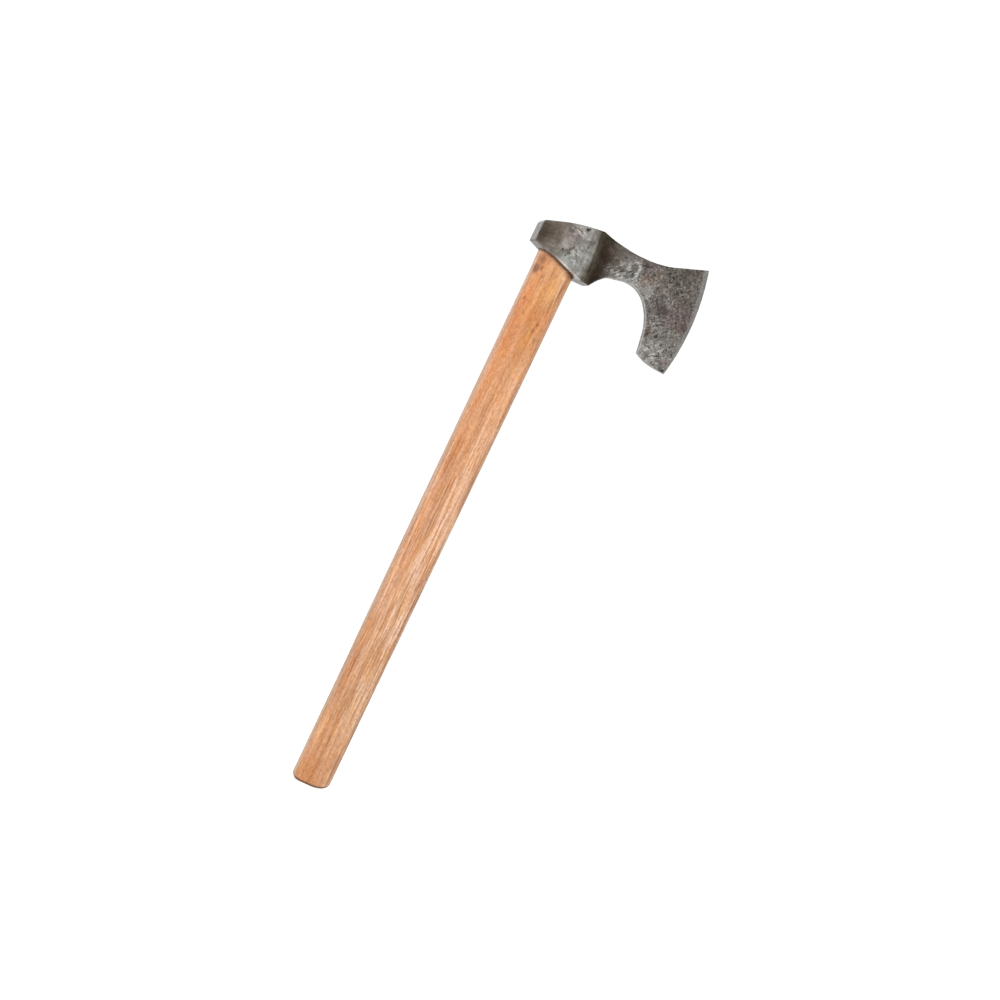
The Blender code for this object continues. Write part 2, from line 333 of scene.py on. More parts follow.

# Patches of colour, among them a painted highlight and two patches of patina with painted shade: x, height,
# half sizes along and up in mm, colour and strength.
FORGE_PATCHES = (
    (3.0, 11.0, 7.0, 4.0, linear(112, 103, 101), 0.5),
    (8.1, 14.6, 1.9, 1.7, linear(200, 198, 192), 0.7),
    (-2.8, -2.4, 3.6, 3.4, linear(186, 181, 176), 0.75),
    (6.5, -13.5, 8.0, 3.4, linear(184, 186, 182), 0.65),
    (-24.0, 1.0, 4.0, 9.0, linear(84, 70, 58), 0.45),
    (-15.0, 6.0, 6.0, 5.0, linear(88, 78, 62), 0.45),
    (15.1, -1.8, 5.5, 8.0, linear(150, 153, 146), 0.6),
    (20.8, 9.6, 2.2, 3.2, linear(98, 86, 74), 0.6),
    (27.6, -11.0, 3.2, 7.0, linear(78, 75, 58), 0.5),
    (80.2, 15.1, 2.2, 3.6, linear(62, 52, 48), 0.7),
    (85.1, 2.8, 7.0, 6.0, linear(124, 105, 90), 0.5),
    (92.0, 10.6, 5.0, 4.0, linear(104, 92, 76), 0.4),
    (93.0, -6.5, 3.8, 6.0, linear(158, 157, 155), 0.75),
    (109.7, -15.7, 5.5, 4.5, linear(80, 72, 69), 0.6),
    (126.5, -15.3, 9.0, 6.0, linear(112, 99, 97), 0.45),
    (133.5, -26.7, 5.0, 3.0, linear(112, 102, 84), 0.3),
    (136.4, -20.9, 2.5, 3.5, linear(82, 64, 60), 0.7),
    (116.6, -40.4, 1.8, 2.2, linear(64, 60, 55), 0.85),
    (106.8, -39.7, 2.4, 5.0, linear(84, 66, 63), 0.7),
    (111.7, -53.9, 4.5, 4.0, linear(152, 148, 142), 0.5),
    (124.6, -56.6, 6.0, 5.0, linear(156, 152, 147), 0.5),
    (134.5, -59.3, 4.0, 4.0, linear(110, 93, 87), 0.5),
    (131.5, -50.7, 4.0, 2.5, linear(84, 80, 74), 0.6),
    (138.4, -67.8, 2.8, 2.4, linear(34, 30, 27), 0.95),
    (106.8, -61.7, 1.8, 2.0, linear(66, 62, 58), 0.6),
    (131.5, 30.8, 4.5, 5.0, linear(90, 78, 73), 0.5),
    # the recess's dark band at the top and the bottom: patina, darkened further as painted shade
    (40.0, 23.0, 7.0, 1.8, linear(30, 25, 22), 0.6),
    (38.0, -19.5, 4.0, 4.0, linear(30, 25, 22), 0.5),
    # a painted highlight along the lower corner over the haft
    (8.0, -21.0, 9.0, 2.2, linear(196, 194, 188), 0.6),
)
# Fields of small pits, of hammer strokes and of wavy tool marks: x, height, half sizes in mm and strength.
PIT_FIELDS = (
    (105.8, 18.6, 7.0, 3.5, 1.0),
    (105.8, 9.1, 3.0, 4.5, 0.9),
    (121.6, 5.6, 4.5, 4.0, 1.0),
    (119.6, -4.0, 6.0, 3.2, 1.0),
    (116.0, 6.0, 20.0, 18.0, 0.30),
    (108.0, -26.0, 5.0, 8.0, 0.6),
    (122.0, -48.0, 14.0, 9.0, 0.12),
    (37.0, 22.0, 9.0, 4.0, 0.6),
)
STROKE_FIELDS = (
    (60.0, 1.0, 12.0, 8.0, 1.0),
    (71.0, 4.0, 8.0, 9.0, 1.0),
    (86.0, 2.0, 8.0, 8.0, 0.5),
    (122.0, -57.0, 12.0, 7.0, 0.9),
    (112.0, -30.0, 7.0, 9.0, 0.5),
)
WAVE_FIELDS = (
    (3.5, 14.0, 8.0, 5.0, 1.0),
    (14.0, -6.0, 8.0, 12.0, 0.5),
)
STROKE_ANGLE = math.radians(40)
WAVE_ANGLE = 0.25

# Where the cheek's bare steel ends and the dark recess begins, whose patina is darkened further as painted
# shade: (height, x) in mm.
CREST = ((-26, 26.0), (-18, 25.6), (-9, 27.2), (2, 27.4), (8, 26.6), (17, 23.2), (26, 21.6))
# The worn ring at the neck: x, height and radius in mm.
RING = (69.5, 9.0, 5.4)

# Single pits on each cheek: x, height, radius and depth in mm.
CHEEK_PITS = (
    (10.9, 19.8, 1.9, 1.00),
    (12.9, 21.2, 1.4, 0.80),
    (-2.8, -6.7, 1.1, 0.45),
    (4.8, -7.6, 1.0, 0.40),
    (1.9, -11.4, 0.8, 0.25),
)
# A scratch's two ends, as (x, height).
CHEEK_SCRATCH = ((5.9, 0.5), (1.7, -11.8))
# Tool marks on the cheek: both ends as (x, height), half width, colour and strength.
CHEEK_LINES = (
    ((8.9, 1.9), (10.9, -3.9), 0.9, linear(176, 176, 170), 0.60),
    ((10.9, -3.9), (14.8, -9.1), 0.9, linear(172, 172, 166), 0.55),
    ((8.9, -2.0), (13.8, -11.5), 1.2, linear(104, 98, 92), 0.60),
    ((6.9, -1.0), (0.1, -6.7), 1.0, linear(104, 97, 95), 0.60),
    ((4.0, 17.0), (8.9, 14.2), 0.6, linear(84, 76, 74), 0.80),
    ((1.0, 13.6), (5.9, 10.8), 0.7, linear(98, 88, 86), 0.60),
    ((3.0, 15.4), (8.2, 12.6), 0.5, linear(186, 184, 178), 0.75),
    ((0.0, 11.6), (10.2, 9.4), 0.5, linear(166, 160, 156), 0.60),
    ((9.2, 17.0), (9.9, 11.6), 0.8, linear(196, 194, 188), 0.70),
    ((13.6, 11.9), (16.4, 12.3), 0.5, linear(198, 196, 190), 0.70),
    ((18.4, 22.0), (18.8, 5.0), 1.2, linear(100, 93, 86), 0.65),
    ((18.8, 5.0), (19.4, -19.0), 0.8, linear(112, 108, 102), 0.45),
    ((16.4, 21.0), (16.0, 12.0), 0.9, linear(172, 170, 165), 0.35),
    ((3.0, -15.5), (11.0, -18.5), 1.2, linear(196, 198, 194), 0.50),
    ((20.8, 7.5), (20.2, -21.0), 1.2, linear(168, 166, 160), 0.45),
    ((12.8, 8.0), (17.5, 1.0), 0.8, linear(112, 116, 108), 0.50),
    ((22.8, 8.0), (22.2, -6.0), 0.9, linear(122, 122, 112), 0.50),
)
# Chance pits on the blade: how many, their seed, and how far a pit's hollow can reach from its middle.
PIT_COUNT = 110
PIT_SEED = 11
PIT_REACH = 2.6 * MM

# The uneven forged surface: size of its dents in metres, seed and octaves of their noise, their depth in mm
# on the cheeks and how much deeper they are on the blade.
DENTS = (
    (0.0220, 0, 3, 0.28, 0.00),
    (0.0062, 3, 2, 0.12, 0.14),
    (0.0021, 7, 2, 0.04, 0.10),
)
# Depths in mm of the other marks, and the height of the ring's raised border.
SCRATCH_DEPTH = 0.15
STROKE_DEPTH = 0.36
RING_MIDDLE_DEPTH = 0.30
RING_HEIGHT = 0.12
# How ragged the borders of the colours are, in mm.
RAGGED = 1.6

# How far the cheeks' lower sides are worn away where they meet the haft, in mm, and how high up it reaches.
UNDER_GAP = 2.1
UNDER_REACH = 5.0

# The visible width of the ground bevel, as (height, width) in mm from the toe to the upper tip.
GRIND = ((-70, 2.2), (-44, 2.8), (-5, 4.2), (20, 5.0), (40, 5.6))


def steps_between(rows, value):
    """Reads value in rows of (position, number), straight between them and level past the ends."""
    for (low, first), (high, second) in zip(rows, rows[1:]):
        if value < high:
            share = max(0.0, (value - low) / (high - low))
            return first + (second - first) * share
    return rows[-1][1]


def ridge_x(z):
    """The ridge leans forwards a little towards the bottom."""
    return RIDGE_X - math.tan(RIDGE_LEAN) * (z - EYE_HEIGHT)


def edge_distance(co):
    """How far a point lies behind the cutting edge."""
    return EDGE_RADIUS - math.hypot(co.x - EDGE_CENTRE.x, co.z - EDGE_CENTRE.z)


def in_eye(co):
    """True on the walls of the eye, which lie close round the haft."""
    inside = abs(co.x) < haft_high.x + EYE_REACH_X and abs(co.y) < haft_high.y + EYE_REACH_Y
    return inside and head_low.z - MM < co.z < head_high.z + MM


def on_ridge(co):
    """True along the crests of the cheeks."""
    return abs(co.x - ridge_x(co.z)) < RIDGE_REACH and abs(co.y) > RIDGE_INSIDE


def in_fields(fields, x, height):
    """How strongly the point lies in any of the fields."""
    return max(
        power * bump_at(x, field_x, wide) * bump_at(height, field_height, tall)
        for field_x, field_height, wide, tall, power in fields
    )


def segment_gap(x, height, ends):
    """Distance from the point to a line between two ends."""
    first, last = Vector(ends[0]), Vector(ends[1])
    along = last - first
    share = min(1.0, max(0.0, (Vector((x, height)) - first).dot(along) / along.length_squared))
    return (Vector((x, height)) - first - along * share).length


def head_edge(x):
    """Height of the head's lower side along the haft."""
    share = (x - head_low.x) / (LUG_REAR - head_low.x)
    return POLL_BOTTOM + min(1.0, max(0.0, share)) * (LUG_BOTTOM - POLL_BOTTOM)


def under_lift(x):
    """How far the cheeks' lower side is worn away at x, both in mm."""
    return UNDER_GAP * smooth(-22.0, -5.0, x) * (1 - smooth(16.0, 20.0, x))


def random_pits():
    """Pits as (side, x, height, radius, depth): chance ones on the blade, and each cheek's own."""
    chooser = random.Random(PIT_SEED)
    pits = []
    for _ in range(PIT_COUNT):
        side = chooser.choice((-1, 1))
        x = chooser.triangular(44, 136, 128)
        height = chooser.uniform(-64, 38)
        radius = chooser.uniform(0.5, 1.2)
        depth = chooser.uniform(0.08, 0.30)
        pits.append((side, x, height, radius, depth))
    for side in (-1, 1):
        for x, height, radius, depth in CHEEK_PITS:
            pits.append((side, x, height, radius, depth))
    return pits


def forge_tone(x, height):
    """The smooth mixture of the nearest tones."""
    total = 0.0
    tone = Vector((0.0, 0.0, 0.0))
    for tone_x, tone_height, colour in FORGE_TONES:
        weight = 1 / (3 + (x - tone_x) ** 2 + (height - tone_height) ** 2) ** 1.8
        tone += weight * colour
        total += weight
    return tone / total


def pit_search(pits):
    """A search tree of the pits, with their side in place of y."""
    tree = kdtree.KDTree(len(pits))
    for index, (side, x, height, _, _) in enumerate(pits):
        tree.insert((x * MM, side, EYE_HEIGHT + height * MM), index)
    tree.balance()
    return tree


class Spot:
    """A point of the head's surface: x from the haft's middle and height from the eye's middle, in mm."""

    def __init__(self, vert, corners):
        self.co = vert.co
        self.side = -1 if vert.co.y < 0 else 1
        self.x = vert.co.x / MM
        self.height = (vert.co.z - EYE_HEIGHT) / MM
        self.on_side = smooth(0.45, 0.8, abs(vert.normal.y))
        self.behind = edge_distance(vert.co) / MM
        self.in_eye = in_eye(vert.co)
        self.corner_gap = corners.find(vert.co)[2] / MM
        self.ragged = RAGGED * rough_noise(vert.co, 0.006, 33 + self.side)
        self.past = self.x - steps_between(CREST, self.height)
        begun = smooth(-5.0, 2.6, self.past + 1.2 * self.ragged)
        self.recess = begun * (1 - smooth(11.0, 30.0, self.past + 2.5 * self.ragged))
        self.mark_x = self.x
        self.mark_height = self.height
        if self.side > 0:
            # the far side has its marks in other places
            self.mark_x = self.x - 6
            self.mark_height = 1.5 - self.height * 0.9 - 0.18 * max(0.0, self.x - 60)


def forge_depth(spot):
    """Depth of the uneven forged surface, less on the narrow sides and at the corners."""
    blade = smooth(45, 85, spot.x)
    depth = 0.0
    for size, seed, octaves, on_cheek, more_on_blade in DENTS:
        dent = 0.5 + 0.5 * rough_noise(spot.co, size, seed + spot.side, octaves)
        depth += (on_cheek + more_on_blade * blade) * dent
    return depth * (0.45 + 0.55 * spot.on_side) * smooth(-1.0, 3.0, spot.corner_gap)


def pitting(spot, pits, tree):
    """The depth of the pits at the spot, and how dark they are."""
    depth = 0.0
    dark = 0.0
    for _, index, gap in tree.find_range((spot.co.x, spot.side, spot.co.z), PIT_REACH):
        _, _, _, radius, pit_depth = pits[index]
        radius *= 1 + 0.45 * rough_noise(spot.co, 0.0016, index)
        share = 1 - smooth(0.35, 1.1, gap / MM / max(0.3, radius))
        depth += pit_depth * share * spot.on_side * smooth(0.2, 1.6, spot.corner_gap)
        dark = max(dark, share * min(1.0, pit_depth * 2.6))
    return depth, min(1.0, dark)


def strikes(spot):
    """Hammer strokes and the struck mark at the neck: strength and pattern, the ring and its middle."""
    hurt = in_fields(STROKE_FIELDS, spot.mark_x, spot.mark_height) * spot.on_side
    along = spot.mark_x * math.cos(STROKE_ANGLE) + spot.mark_height * math.sin(STROKE_ANGLE)
    across = spot.mark_height * math.cos(STROKE_ANGLE) - spot.mark_x * math.sin(STROKE_ANGLE)
    strokes = noise.noise(Vector((along * 0.13, across * 0.62, 5.0 * spot.side)))
    strokes += 0.5 * noise.noise(Vector((along * 0.30, across * 1.10, 9.0 * spot.side)))
    ring_x, ring_height, ring_radius = RING
    around = math.hypot(spot.mark_x - ring_x, (spot.mark_height - ring_height) * 0.9)
    ring = bump_at(around, ring_radius, 1.3) * smooth(-0.5, 0.5, strokes + 0.4) * spot.on_side
    middle = bump_at(around, 0.0, 3.6) * spot.on_side
    return hurt, strokes, ring, middle


def lower_side_lift(spot):
    """How far the cheek's lower side is worn away at the spot, in mm."""
    if not -20.5 < spot.x < 20.0:
        return 0.0
    above = (spot.co.z - head_edge(spot.co.x)) / MM
    cheek = smooth(8.0, 13.0, abs(spot.co.y) / MM)
    return under_lift(spot.x) * cheek * (1 - smooth(0.6, UNDER_REACH, above))


def head_tone(spot, scratch):
    """The colour of the forged surface, with painted shade in the recess and on top of the neck and the
    blade, before its corners are worn.
    """
    warp = 4.0 * rough_noise(spot.co, 0.012, 21 + spot.side)
    tone = forge_tone(spot.mark_x + warp, spot.mark_height + warp)
    # the recess past the ridge: patina darkened further as painted shade, less dark just past the crest
    deep = smooth(2.0, 9.0, spot.past + spot.ragged) * (1 - 0.5 * smooth(14.0, 20.0, spot.height))
    tone = tone.lerp(RECESS_EDGE_PATINA_AND_SHADE_TONE.lerp(RECESS_PATINA_AND_SHADE_TONE, deep), 0.95 * spot.recess)
    x = spot.mark_x + 0.5 * spot.ragged
    height = spot.mark_height + 0.5 * spot.ragged
    for patch_x, patch_height, wide, tall, colour, power in FORGE_PATCHES:
        share = bump_at(x, patch_x, wide) * bump_at(height, patch_height, tall)
        if share > 0.02:
            tone = tone.lerp(colour, power * min(1.0, 1.3 * share))
    if -4 < spot.mark_x < 26:
        for first, last, wide, colour, power in CHEEK_LINES:
            gap = segment_gap(x, spot.mark_height + 0.4 * spot.ragged, (first, last))
            tone = tone.lerp(colour, power * bump_at(gap, 0.0, wide))
    if spot.behind > 6:
        # the narrow sides, with painted shade darkening those on top of the neck and the blade
        top_side_shade = 0.6 if spot.x > 28 and spot.height > 0 else 1.0
        tone = tone.lerp(SIDE_TONE * top_side_shade, 1 - spot.on_side)
    return tone.lerp(PIT_TONE, 0.6 * scratch)


def worn_corners(spot, tone):
    """The tone with what lies along the corners, a painted highlight and painted shade among it, and how
    far they are worn to bare steel.
    """
    x = spot.x
    height = spot.height
    gap = spot.corner_gap
    worn = (1 - smooth(0.1, 1.1, gap)) * (0.60 + 0.5 * rough_noise(spot.co, 0.007, 41))
    # the cheeks' lower corners
    if height < 0 and x < 24:
        worn = (1 - smooth(0.3, 1.5, gap)) * smooth(-8, 0, x)
    # little wear in the eye and the recess, on top away from the cheeks, and on the blunt ridge
    if spot.in_eye or spot.recess > 0.4 and spot.past < 9:
        worn *= 0.2
    if height > 0 and not 0 < x < 24:
        worn *= 0.35
    if abs(x - ridge_x(spot.co.z) / MM) < 3.5 and abs(height + 5) < 22:
        worn *= 0.2
    # a painted highlight: a bright glint along the lower corner, over the haft
    if height < 0 and gap < 1.6 and spot.on_side > 0.3:
        glint = bump_at(x, 9.0, 9.0) * (1 - smooth(0.4, 1.6, gap))
        tone = tone.lerp(GLINT_TONE, 0.9 * glint)
        worn *= 1 - 0.8 * glint
    # the back of the poll
    if x < head_low.x / MM + 1.5:
        tone = tone.lerp(POLL_TONE, 0.75)
        worn *= 0.3
    # the arch behind the beard is rubbed bright
    if height < 6 and 46 < x < 112 and spot.behind > 12:
        worn = (1 - smooth(0.3, 1.5, gap)) * (0.85 + 0.3 * spot.ragged / RAGGED)
    # painted shade along the blade's upper corner
    if height > 6 and 50 < x < 128 and spot.on_side > 0.3:
        upper_corner_shade = (1 - smooth(0.2, 1.4, gap)) * smooth(50, 60, x) * (1 - smooth(96, 128, x))
        tone = tone.lerp(PIT_TONE, 0.7 * upper_corner_shade)
        worn *= 1 - upper_corner_shade
    return tone, min(1.0, max(0.0, worn))


def bevel_share(spot):
    """1 on the ground bevel, whose rear border wavers a little."""
    width = steps_between(GRIND, spot.height) * (1 + 0.10 * rough_noise(spot.co, 0.010, 51))
    return 1 - smooth(width - 0.5, width + 0.4, spot.behind)


def make_head(material):
    """The head: corners softened, surface pressed in by its marks, and its paint values."""
    bm = dense_mesh("axe_head", HEAD_CELLS)
    corners = corner_tree(bm)
    soften(bm, corners, 1.1 * MM, 1, lambda co: co.x > 0.100 or in_eye(co))
    soften(bm, corners, 2.6 * MM, 5, lambda co: not on_ridge(co))
    pits = random_pits()
    pit_tree = pit_search(pits)

    names = ("tone", "wear", "bevel", "pit", "scar", "hurt", "rough_area", "pit_field", "wave")
    paint = {name: [] for name in names}
    moves = []
    for vert in bm.verts:
        spot = Spot(vert, corners)
        hurt, strokes, ring, middle = strikes(spot)
        pit_depth, pit = pitting(spot, pits, pit_tree)
        scratch = 1 - smooth(0.2, 0.9, segment_gap(spot.mark_x, spot.mark_height, CHEEK_SCRATCH))
        scratch *= spot.on_side

        depth = forge_depth(spot) + pit_depth + SCRATCH_DEPTH * scratch
        depth += STROKE_DEPTH * hurt * (1 - smooth(-0.35, 0.15, strokes))
        depth += RING_MIDDLE_DEPTH * middle - RING_HEIGHT * ring
        free = 0.0 if spot.in_eye else smooth(0.3, 7.0, spot.behind)
        move = -vert.normal * max(0.0, depth) * free
        move.z += lower_side_lift(spot)
        moves.append(move * MM)

        tone, worn = worn_corners(spot, head_tone(spot, scratch))
        bright = hurt * smooth(0.0, 0.35, strokes) + 0.8 * ring
        bright += 0.5 * hurt * bump_at(spot.height, -4.5, 2.5)
        x = spot.mark_x + spot.ragged
        height = spot.mark_height + spot.ragged
        paint["tone"].append(tone)
        paint["wear"].append(worn)
        paint["bevel"].append(bevel_share(spot))
        paint["pit"].append(pit)
        paint["scar"].append(min(1.0, bright * (1 - 0.7 * middle)))
        paint["hurt"].append(hurt)
        paint["rough_area"].append(0.28 + 0.72 * smooth(40, 85, spot.x))
        paint["pit_field"].append(in_fields(PIT_FIELDS, x, height) * spot.on_side)
        paint["wave"].append(in_fields(WAVE_FIELDS, spot.mark_x, spot.mark_height) * spot.on_side)
    for vert, move in zip(bm.verts, moves):
        vert.co += move
    keep_in_box(bm, head_low, head_high)
    return add_piece("forged_head", bm, "axe_head", material, paint)


def steel_material():
    """Forged steel: mottled scale with tool marks, pits, bare corners and a ground bevel."""
    nodes = Nodes("forged_steel_look", 0.5, 0.85)
    place = nodes.place
    tone = nodes.paint("tone", "Color")
    rough_area = nodes.paint("rough_area")
    mottle = nodes.noise(place, 85.0, 3.0, 0.55, 0.8)
    grain = nodes.noise(place, 480.0, 3.0, 0.7, 0.9)
    specks = nodes.noise(place, 520.0, 1.0, 0.5, 0.7)
    stroke_place = nodes.stretched((170.0, 900.0, 780.0), (0.0, -STROKE_ANGLE, 0.0))
    strokes = nodes.noise(stroke_place, 1.0, 3.0, 0.6)
    wave_place = nodes.stretched((150.0, 500.0, 620.0), (0.0, WAVE_ANGLE, 0.0))
    waves = nodes.noise(wave_place, 1.0, 2.0, 0.5, 1.2)

    shade = nodes.ramp(mottle, (0.34, 0.72), (0.5, 1.0), (0.66, 1.30))
    colour = nodes.mix(1.0, tone, shade, "MULTIPLY")
    shade = nodes.ramp(grain, (0.34, 0.38), (0.5, 0.97), (0.66, 2.05))
    shade = nodes.mix(rough_area, WHITE, shade)
    colour = nodes.mix(1.0, colour, shade, "MULTIPLY")
    # wavy hammer marks on the cheeks
    shade = nodes.ramp(waves, (0.38, 0.42), (0.5, 1.0), (0.60, 2.1))
    shade = nodes.mix(nodes.paint("wave"), WHITE, shade)
    colour = nodes.mix(1.0, colour, shade, "MULTIPLY")
    # hammer strokes and the mark at the neck
    scar = nodes.paint("scar")
    shade = nodes.ramp(strokes, (0.44, 0.12), (0.54, 1.0))
    bright = nodes.maths("MULTIPLY", scar, shade)
    colour = nodes.mix(bright, colour, tuple(BRIGHT_TONE * 1.15))
    shade = nodes.ramp(strokes, (0.40, 0.34), (0.50, 1.0))
    shade = nodes.mix(nodes.paint("hurt"), WHITE, shade)
    colour = nodes.mix(1.0, colour, shade, "MULTIPLY")
    # corrosion pits
    pitted = nodes.paint("pit_field")
    shade = nodes.mix(pitted, WHITE, (1.18, 1.16, 1.14))
    colour = nodes.mix(1.0, colour, shade, "MULTIPLY")
    dots = nodes.maths("MULTIPLY", nodes.ramp(specks, (0.52, 0.0), (0.56, 1.0)), pitted)
    colour = nodes.mix(dots, colour, tuple(PIT_TONE * 0.4))
    spots = nodes.ramp(specks, (0.64, 0.0), (0.70, 0.75))
    spots = nodes.maths("MULTIPLY", spots, rough_area)
    colour = nodes.mix(spots, colour, tuple(PIT_TONE * 1.5))
    # ground bevel
    ground = nodes.ramp(grain, (0.35, 0.80), (0.65, 1.12))
    ground = nodes.mix(1.0, tuple(BEVEL_TONE), ground, "MULTIPLY")
    bevel = nodes.paint("bevel")
    colour = nodes.mix(nodes.maths("MULTIPLY", bevel, 0.92), colour, ground)
    # worn corners and pits
    wear = nodes.maths("MULTIPLY", nodes.paint("wear"), nodes.ramp(grain, (0.3, 0.55), (0.6, 1.0)))
    colour = nodes.mix(wear, colour, tuple(EDGE_TONE))
    pits = nodes.paint("pit")
    colour = nodes.mix(pits, colour, tuple(PIT_TONE))
    nodes.feed(nodes.shader.inputs["Base Color"], colour)

    rough = nodes.mix(mottle, (0.40, 0.40, 0.40), (0.62, 0.62, 0.62))
    rough = nodes.mix(bevel, rough, (0.34, 0.34, 0.34))
    rough = nodes.mix(pits, rough, (0.85, 0.85, 0.85))
    nodes.feed(nodes.shader.inputs["Roughness"], rough)
    relief = nodes.mix(rough_area, waves, grain)
    relief = nodes.mix(scar, relief, strokes)
    nodes.relief(relief, 0.0008, 0.6)
    return nodes.material


# ---------------------------------------------------------------- haft

# Tones of the wood up the haft, as (height in mm, colour).
WOOD_TONES = (
    (0, linear(198, 142, 96)),
    (25, linear(206, 150, 106)),
    (80, linear(205, 157, 116)),
    (150, linear(210, 163, 126)),
    (230, linear(222, 174, 138)),
    (340, linear(219, 167, 127)),
    (440, linear(215, 156, 109)),
    (500, linear(211, 145, 91)),
    (545, linear(220, 168, 120)),
    (600, linear(200, 146, 104)),
)
STAIN_TONE = linear(132, 78, 44)
MARK_TONE = linear(92, 42, 16)
BUTT_RIM_SHADE_TONE = linear(66, 42, 26)
SEAM_TONE = linear(128, 70, 34)
GREY_TONE = linear(178, 158, 140)
ORANGE_TONE = linear(206, 124, 66)
GOLD_TONE = linear(226, 170, 106)
PALE_TONE = linear(218, 172, 140)
HEAD_SHADOW_TONE = linear(46, 22, 9)

# How far the butt's corners are lifted in mm, and how suddenly, behind and in front.
BUTT_DOME_REAR = (1.6, 4.5)
BUTT_DOME_FRONT = (7.5, 2.4)
BUTT_DOME_REACH = 22.0
# The seam near the front corner of each face, in mm from the haft's middle.
SEAM_X = 15.4

# Stains and marks on each face, and one painted shade under the head's front corner: x, height above the
# butt, half sizes across and along in mm, and strength.
WOOD_MARKS = (
    (-15.0, 543.0, 3.2, 6.0, 0.72),
    (-5.0, 546.5, 11.0, 3.6, 0.28),
    (-16.6, 533.0, 2.6, 5.0, 0.90),
    (-12.5, 535.0, 1.5, 2.4, 0.80),
    (-8.0, 528.0, 1.2, 2.0, 0.60),
    (-1.0, 534.0, 0.9, 2.2, 0.35),
    # painted shade under the head's front corner
    (14.0, 540.5, 5.0, 4.0, 0.70),
    (3.5, 541.0, 0.6, 4.5, 0.50),
    (5.2, 537.5, 0.5, 4.5, 0.45),
    (7.0, 485.0, 0.9, 2.6, 0.90),
    (5.5, 478.0, 0.8, 2.4, 0.90),
    (10.5, 470.0, 0.7, 3.4, 0.60),
    (-15.0, 503.0, 1.0, 1.8, 0.75),
    (-10.5, 490.0, 0.7, 1.6, 0.50),
    (13.0, 30.0, 3.0, 9.0, 0.35),
    (13.4, 522.0, 0.8, 17.0, 0.90),
    (11.0, 505.0, 0.5, 9.0, 0.60),
    (8.6, 512.0, 0.5, 7.0, 0.45),
    (14.8, 200.0, 0.6, 40.0, 0.55),
    (13.6, 28.0, 0.6, 22.0, 0.55),
    (3.0, 205.0, 1.0, 30.0, 0.40),
    (-4.0, 268.0, 0.8, 24.0, 0.30),
    (6.5, 330.0, 0.8, 26.0, 0.25),
    (-9.0, 150.0, 0.8, 20.0, 0.25),
)


def tone_between(rows, value):
    """Reads value in rows of (position, colour), as steps_between does."""
    for (low, first), (high, second) in zip(rows, rows[1:]):
        if value < high:
            return first.lerp(second, max(0.0, (value - low) / (high - low)))
    return rows[-1][1]


def end_grain(vert, height):
    """1 on the sloped top end and on the flat of the butt, whose rounded rim is side grain."""
    low, high = (0.94, 0.99) if height < 20 else (0.75, 0.93)
    return smooth(low, high, abs(vert.normal.z))


def haft_move(vert, x, height, end):
    """How a point of the haft is worn: shallow dents, crowned faces and the butt's corners rubbed off."""
    co = vert.co
    across = co.x / haft_high.x
    outside = 1 - smooth(534.0, 541.0, height)
    wave = 0.5 + 0.5 * noise.noise(Vector((co.x * 30, co.y * 30, co.z * 14)))
    hand = 0.5 + 0.5 * noise.noise(Vector((co.x * 160 + 4, co.y * 160, co.z * 45)))
    crown = 0.30 * across ** 2 * smooth(0.5, 0.9, abs(vert.normal.y))
    dent = -vert.normal * (0.22 * wave + 0.10 * hand + crown) * outside * (1 - end)
    dome, power = BUTT_DOME_FRONT if x > 0 else BUTT_DOME_REAR
    lift = dome * abs(across) ** power * (1 - smooth(0.0, BUTT_DOME_REACH, height))
    return (0.5 * dent + Vector((0.0, 0.0, lift))) * MM


def wood_tone(vert, x, height, end, warp):
    """The wood's colour: bands up the haft, greyer narrow sides, a painted shadow under the head and
    painted shade round the butt's rim.
    """
    co = vert.co
    across = co.x / haft_high.x
    tone = tone_between(WOOD_TONES, height + 14 * warp)
    rear = smooth(-0.1, 0.8, -across + 0.25 * warp)
    tone = tone.lerp(ORANGE_TONE, (0.20 + 0.34 * smooth(300, 500, height)) * rear)
    golden = smooth(0.0, 0.5, noise.noise(Vector((co.x * 90, co.y * 90, co.z * 42 + 3))))
    golden *= smooth(-0.7, -0.1, across) * (1 - smooth(0.5, 0.9, across))
    tone = tone.lerp(GOLD_TONE, 0.6 * golden * smooth(420, 500, height))
    tone = tone.lerp(GREY_TONE, 0.55 * smooth(0.45, 0.95, abs(vert.normal.x)) * (1 - end))
    tone = tone.lerp(PALE_TONE, 0.35 * smooth(0.2, 0.9, across) * (1 - end))
    # painted shadow of the head on the wood under it, and painted shade inside the eye
    head_shadow = 1 - smooth(1.1, 3.9, under_lift(x) + (head_edge(co.x) - co.z) / MM)
    tone = tone.lerp(HEAD_SHADOW_TONE, 0.95 * head_shadow * (1 - smooth(591, 600, height)))
    # painted shade round the butt's rounded rim
    corner = abs(across) ** 6
    rim = 1 - smooth(1.1 + 0.8 * corner, 3.2 + 2.4 * corner, height)
    tone = tone.lerp(BUTT_RIM_SHADE_TONE, 0.95 * rim)
    side = -1 if co.y < 0 else 1
    broken = smooth(-0.25, 0.35, noise.noise(Vector((0.0, side, height * 0.021))))
    return tone.lerp(SEAM_TONE, 0.42 * bump_at(x, SEAM_X, 0.8) * broken * (1 - rim))


def stain_and_shade(x, height, warp):
    """How strong the strongest of the stains, marks and painted shade is here."""
    strongest = 0.0
    for mark_x, mark_height, wide, tall, strength in WOOD_MARKS:
        spread = ((x - mark_x) / wide) ** 2 + ((height - mark_height) / tall) ** 2
        strongest = max(strongest, strength * math.exp(-(spread ** 1.6) * (1 + 0.6 * warp)))
    return strongest


def grain_openness(x, height):
    """How open the grain is: closed with handling near the head and the butt, and towards the rear."""
    grain = (1 - 0.66 * smooth(260, 470, height)) * (0.42 + 0.58 * smooth(20, 120, height))
    return grain * (0.75 + 0.25 * smooth(-0.6, 0.6, x * MM / haft_high.x))


